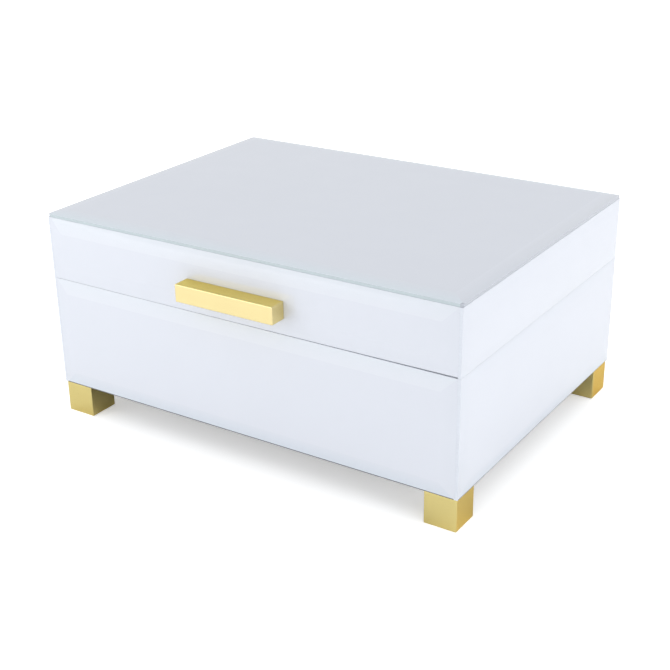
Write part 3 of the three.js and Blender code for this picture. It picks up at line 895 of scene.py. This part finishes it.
def roll_blank(low, high):
    """A bolster along X: flat below, half-round above, with rounded ends."""
    stations = round((high.x - low.x) / ROLL_PITCH)
    radius = (high.y - low.y) / 2
    depth = high.z - radius - low.z  # from the half-round part's middle to the flat underside
    mesh = bmesh.new()
    rings = []
    for station in range(stations + 1):
        x = low.x + (high.x - low.x) * station / stations
        from_end = min(x - low.x, high.x - x)
        drawn_in = max(0.0, 1.0 - from_end / ROLL_END)
        shrink = 1.0 - ROLL_DRAW_IN * drawn_in ** 2
        middle = Vector((x, (low.y + high.y) / 2, high.z - radius))
        ring = []
        for i in range(ROLL_SIDES):
            angle = 2 * math.pi * i / ROLL_SIDES
            reach_up = radius if math.sin(angle) > 0 else depth
            offset = Vector((0, math.cos(angle) * radius, math.sin(angle) * reach_up))
            ring.append(mesh.verts.new(middle + offset * shrink))
        rings.append(ring)
    for first, second in zip(rings, rings[1:]):
        ring_face_strip(mesh, first, second)
    for ring in (rings[0], rings[-1]):
        centre = mesh.verts.new(sum((vert.co for vert in ring), Vector()) / ROLL_SIDES)
        for i in range(ROLL_SIDES):
            mesh.faces.new((ring[i], ring[(i + 1) % ROLL_SIDES], centre))
    bmesh.ops.recalc_face_normals(mesh, faces=mesh.faces)
    return mesh


def ring_rolls():
    """Five soft rolls side by side, which grip a ring between any two."""
    low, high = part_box("ring_cushion")
    pitch = (high.y - low.y) / RING_ROLLS
    for index in range(RING_ROLLS):
        start = low.y + pitch * index
        corner_low = Vector((low.x + ROLL_SLACK, start + ROLL_SLACK, low.z))
        corner_high = Vector((high.x - ROLL_SLACK, start + pitch - ROLL_SLACK, high.z - ROLL_SLACK))
        piece = new_piece(f"ring_roll_{index + 1}", roll_blank(corner_low, corner_high), [VELVET_CLOTH])
        swell(piece, ROLL_SLACK * ROLL_SWELL)
        soften(piece, PAD_UNEVEN)
        stand_for(piece, "ring_cushion", "tray")


# ---- mirror and ribbons ----

def mirror():
    """Silvered in front and behind, with a polished edge."""
    mesh = merged_copy("lid_mirror")
    for face in mesh.faces:
        face.material_index = 0 if abs(face.normal.z) > 0.9 else 1
    round_arrises(mesh, MIRROR_ROUND, segments=3)
    piece = new_piece("lid_mirror_look", mesh, [MIRROR_GLASS, SIDE_GLASS_EDGE])
    weighted(piece)
    stand_for(piece, "lid_mirror", "lid")


def ribbon_section(height):
    """The middle line of a ribbon folded over into a loop, in millimetres: (across, up)."""
    straight = height - RIBBON_BULGE
    rising = []
    for step in range(RIBBON_SPAN_STEPS + 1):
        share = step / RIBBON_SPAN_STEPS
        widening = math.sin(math.pi / 2 * share) ** 2
        rising.append((-RIBBON_FOOT - (RIBBON_BULGE - RIBBON_FOOT) * widening, straight * share))
    bend = []
    for step in range(1, RIBBON_BEND_STEPS):
        angle = math.pi * step / RIBBON_BEND_STEPS
        bend.append((-RIBBON_BULGE * math.cos(angle), straight + RIBBON_BULGE * math.sin(angle)))
    falling = [(-across, up) for across, up in reversed(rising)]
    return rising + bend + falling


def both_faces(line, half):
    """The outline of a ribbon whose middle line is given: its outer face, then its inner face back."""
    outer = []
    inner = []
    for index, point in enumerate(line):
        before = Vector(line[max(0, index - 1)])
        after = Vector(line[min(len(line) - 1, index + 1)])
        along = (after - before).normalized()
        normal = Vector((-along.y, along.x))
        outer.append(Vector(point) + normal * half)
        inner.append(Vector(point) - normal * half)
    return outer + list(reversed(inner))


def pull_tab(side):
    """A loop of ribbon, for lifting the tray."""
    low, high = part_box(f"pull_tab_{side}")
    middle = (low + high) / 2
    wall_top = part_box(f"tray_wall_{side}")[1].z
    half = RIBBON_THICKNESS / 2
    line = ribbon_section((high.z - wall_top) / MM - half)
    section = both_faces(line, half)
    mesh = bmesh.new()
    rings = []
    for station in range(RIBBON_STATIONS + 1):
        share = station / RIBBON_STATIONS
        y = low.y + (high.y - low.y) * share
        lean = RIBBON_LEAN[0] + RIBBON_LEAN[1] * math.sin(math.pi * share)
        rings.append([
            mesh.verts.new((
                middle.x + (across + lean * (up / RIBBON_HEIGHT) ** 2) * MM,
                y,
                wall_top + max(up, RIBBON_CLEAR) * MM,
            ))
            for across, up in section
        ])
    for first, second in zip(rings, rings[1:]):
        ring_face_strip(mesh, first, second)
    for ring in (rings[0], rings[-1]):
        for i in range(len(line) - 1):
            mesh.faces.new((ring[i], ring[i + 1], ring[-2 - i], ring[-1 - i]))
    bmesh.ops.recalc_face_normals(mesh, faces=mesh.faces)
    piece = new_piece(f"pull_tab_{side}_look", mesh, [RIBBON])
    weighted(piece)
    stand_for(piece, f"pull_tab_{side}", "tray")


# ---- stage ----

CAMERA_AZIMUTH = math.radians(33.26)
CAMERA_ELEVATION = math.radians(23.59)
CAMERA_ROLL = math.radians(-0.83)
CAMERA_DISTANCE = 0.6728
CAMERA_LENS = 67.26
CAMERA_TARGET = Vector((0.0025, -0.0061, 0.0418))


def camera():
    """Looks down at the box's front right corner."""
    data = bpy.data.cameras.new("camera")
    data.lens = CAMERA_LENS
    data.sensor_width = 36.0
    data.clip_start = 0.01
    view = bpy.data.objects.new("camera", data)
    level = math.cos(CAMERA_ELEVATION)
    back = Vector((
        math.sin(CAMERA_AZIMUTH) * level, -math.cos(CAMERA_AZIMUTH) * level, math.sin(CAMERA_ELEVATION)
    ))
    view.location = CAMERA_TARGET + back * CAMERA_DISTANCE
    facing = (-back).to_track_quat("-Z", "Y").to_matrix()
    view.rotation_euler = (facing @ Matrix.Rotation(CAMERA_ROLL, 3, "Z")).to_euler()
    bpy.context.scene.collection.objects.link(view)
    bpy.context.scene.camera = view


def softbox(name, place, aim, size, watts):
    """An area light at a place, turned towards a point."""
    data = bpy.data.lights.new(name, "AREA")
    data.shape = "RECTANGLE"
    data.size, data.size_y = size
    data.energy = watts
    lamp = bpy.data.objects.new(name, data)
    lamp.location = place
    lamp.rotation_euler = (Vector(aim) - Vector(place)).to_track_quat("-Z", "Y").to_euler()
    bpy.context.scene.collection.objects.link(lamp)
    return lamp


def floor_plane():
    """The floor, level with the undersides of the feet."""
    mesh = bmesh.new()
    bmesh.ops.create_grid(mesh, x_segments=2, y_segments=2, size=FLOOR_REACH)
    piece = new_piece("floor", mesh, [FLOOR], smooth=False)
    piece.location.z = cad_box[0][2]
    return piece


def backdrop():
    """Soft light from all round, whose own brightness is lifted to the floor's where it is seen."""
    world = bpy.data.worlds.new("studio")
    world.use_nodes = True
    nodes = world.node_tree.nodes
    background = nodes["Background"]
    background.inputs["Color"].default_value = WORLD_COLOUR
    seen = nodes.new("ShaderNodeLightPath")
    strength = nodes.new("ShaderNodeMath")
    strength.operation = "MULTIPLY_ADD"
    strength.inputs[1].default_value = BACKDROP_LIFT
    strength.inputs[2].default_value = WORLD_STRENGTH
    world.node_tree.links.new(seen.outputs["Is Camera Ray"], strength.inputs[0])
    world.node_tree.links.new(strength.outputs[0], background.inputs["Strength"])
    bpy.context.scene.world = world


def studio():
    """A near key from the front left, a wide fill from the right, a back light and a lamp for the floor."""
    backdrop()
    softbox("key", place=(-0.55, -0.75, 0.30), aim=(-0.05, -0.09, 0.06), size=(0.6, 0.5), watts=1.93)
    softbox("fill", place=(2.0, 0.0, 0.5), aim=(0.12, 0, 0.06), size=(1.6, 1.0), watts=9.0)
    back = softbox("back", place=(-0.15, 1.8, 0.28), aim=(0, 0.1, 0.06), size=(1.2, 0.4), watts=3.6)
    back.visible_glossy = False
    floor_lamp = softbox("floor_lamp", place=(0, 0, 2.6), aim=(0, 0, 0), size=(4.0, 4.0), watts=22.4)
    lit = bpy.data.collections.new("lit_by_floor_lamp")
    lit.objects.link(floor_plane())
    floor_lamp.light_linking.receiver_collection = lit
    bpy.context.scene.view_settings.view_transform = "Standard"


camera()
studio()
floor_pad()
lid_lining()
ring_rolls()
glass_panels()
feet_and_handle()
hinges()
screws()
carcass()
base_lining()
tray_boards()
mirror()
for tray_side in ("left", "right"):
    pull_tab(tray_side)
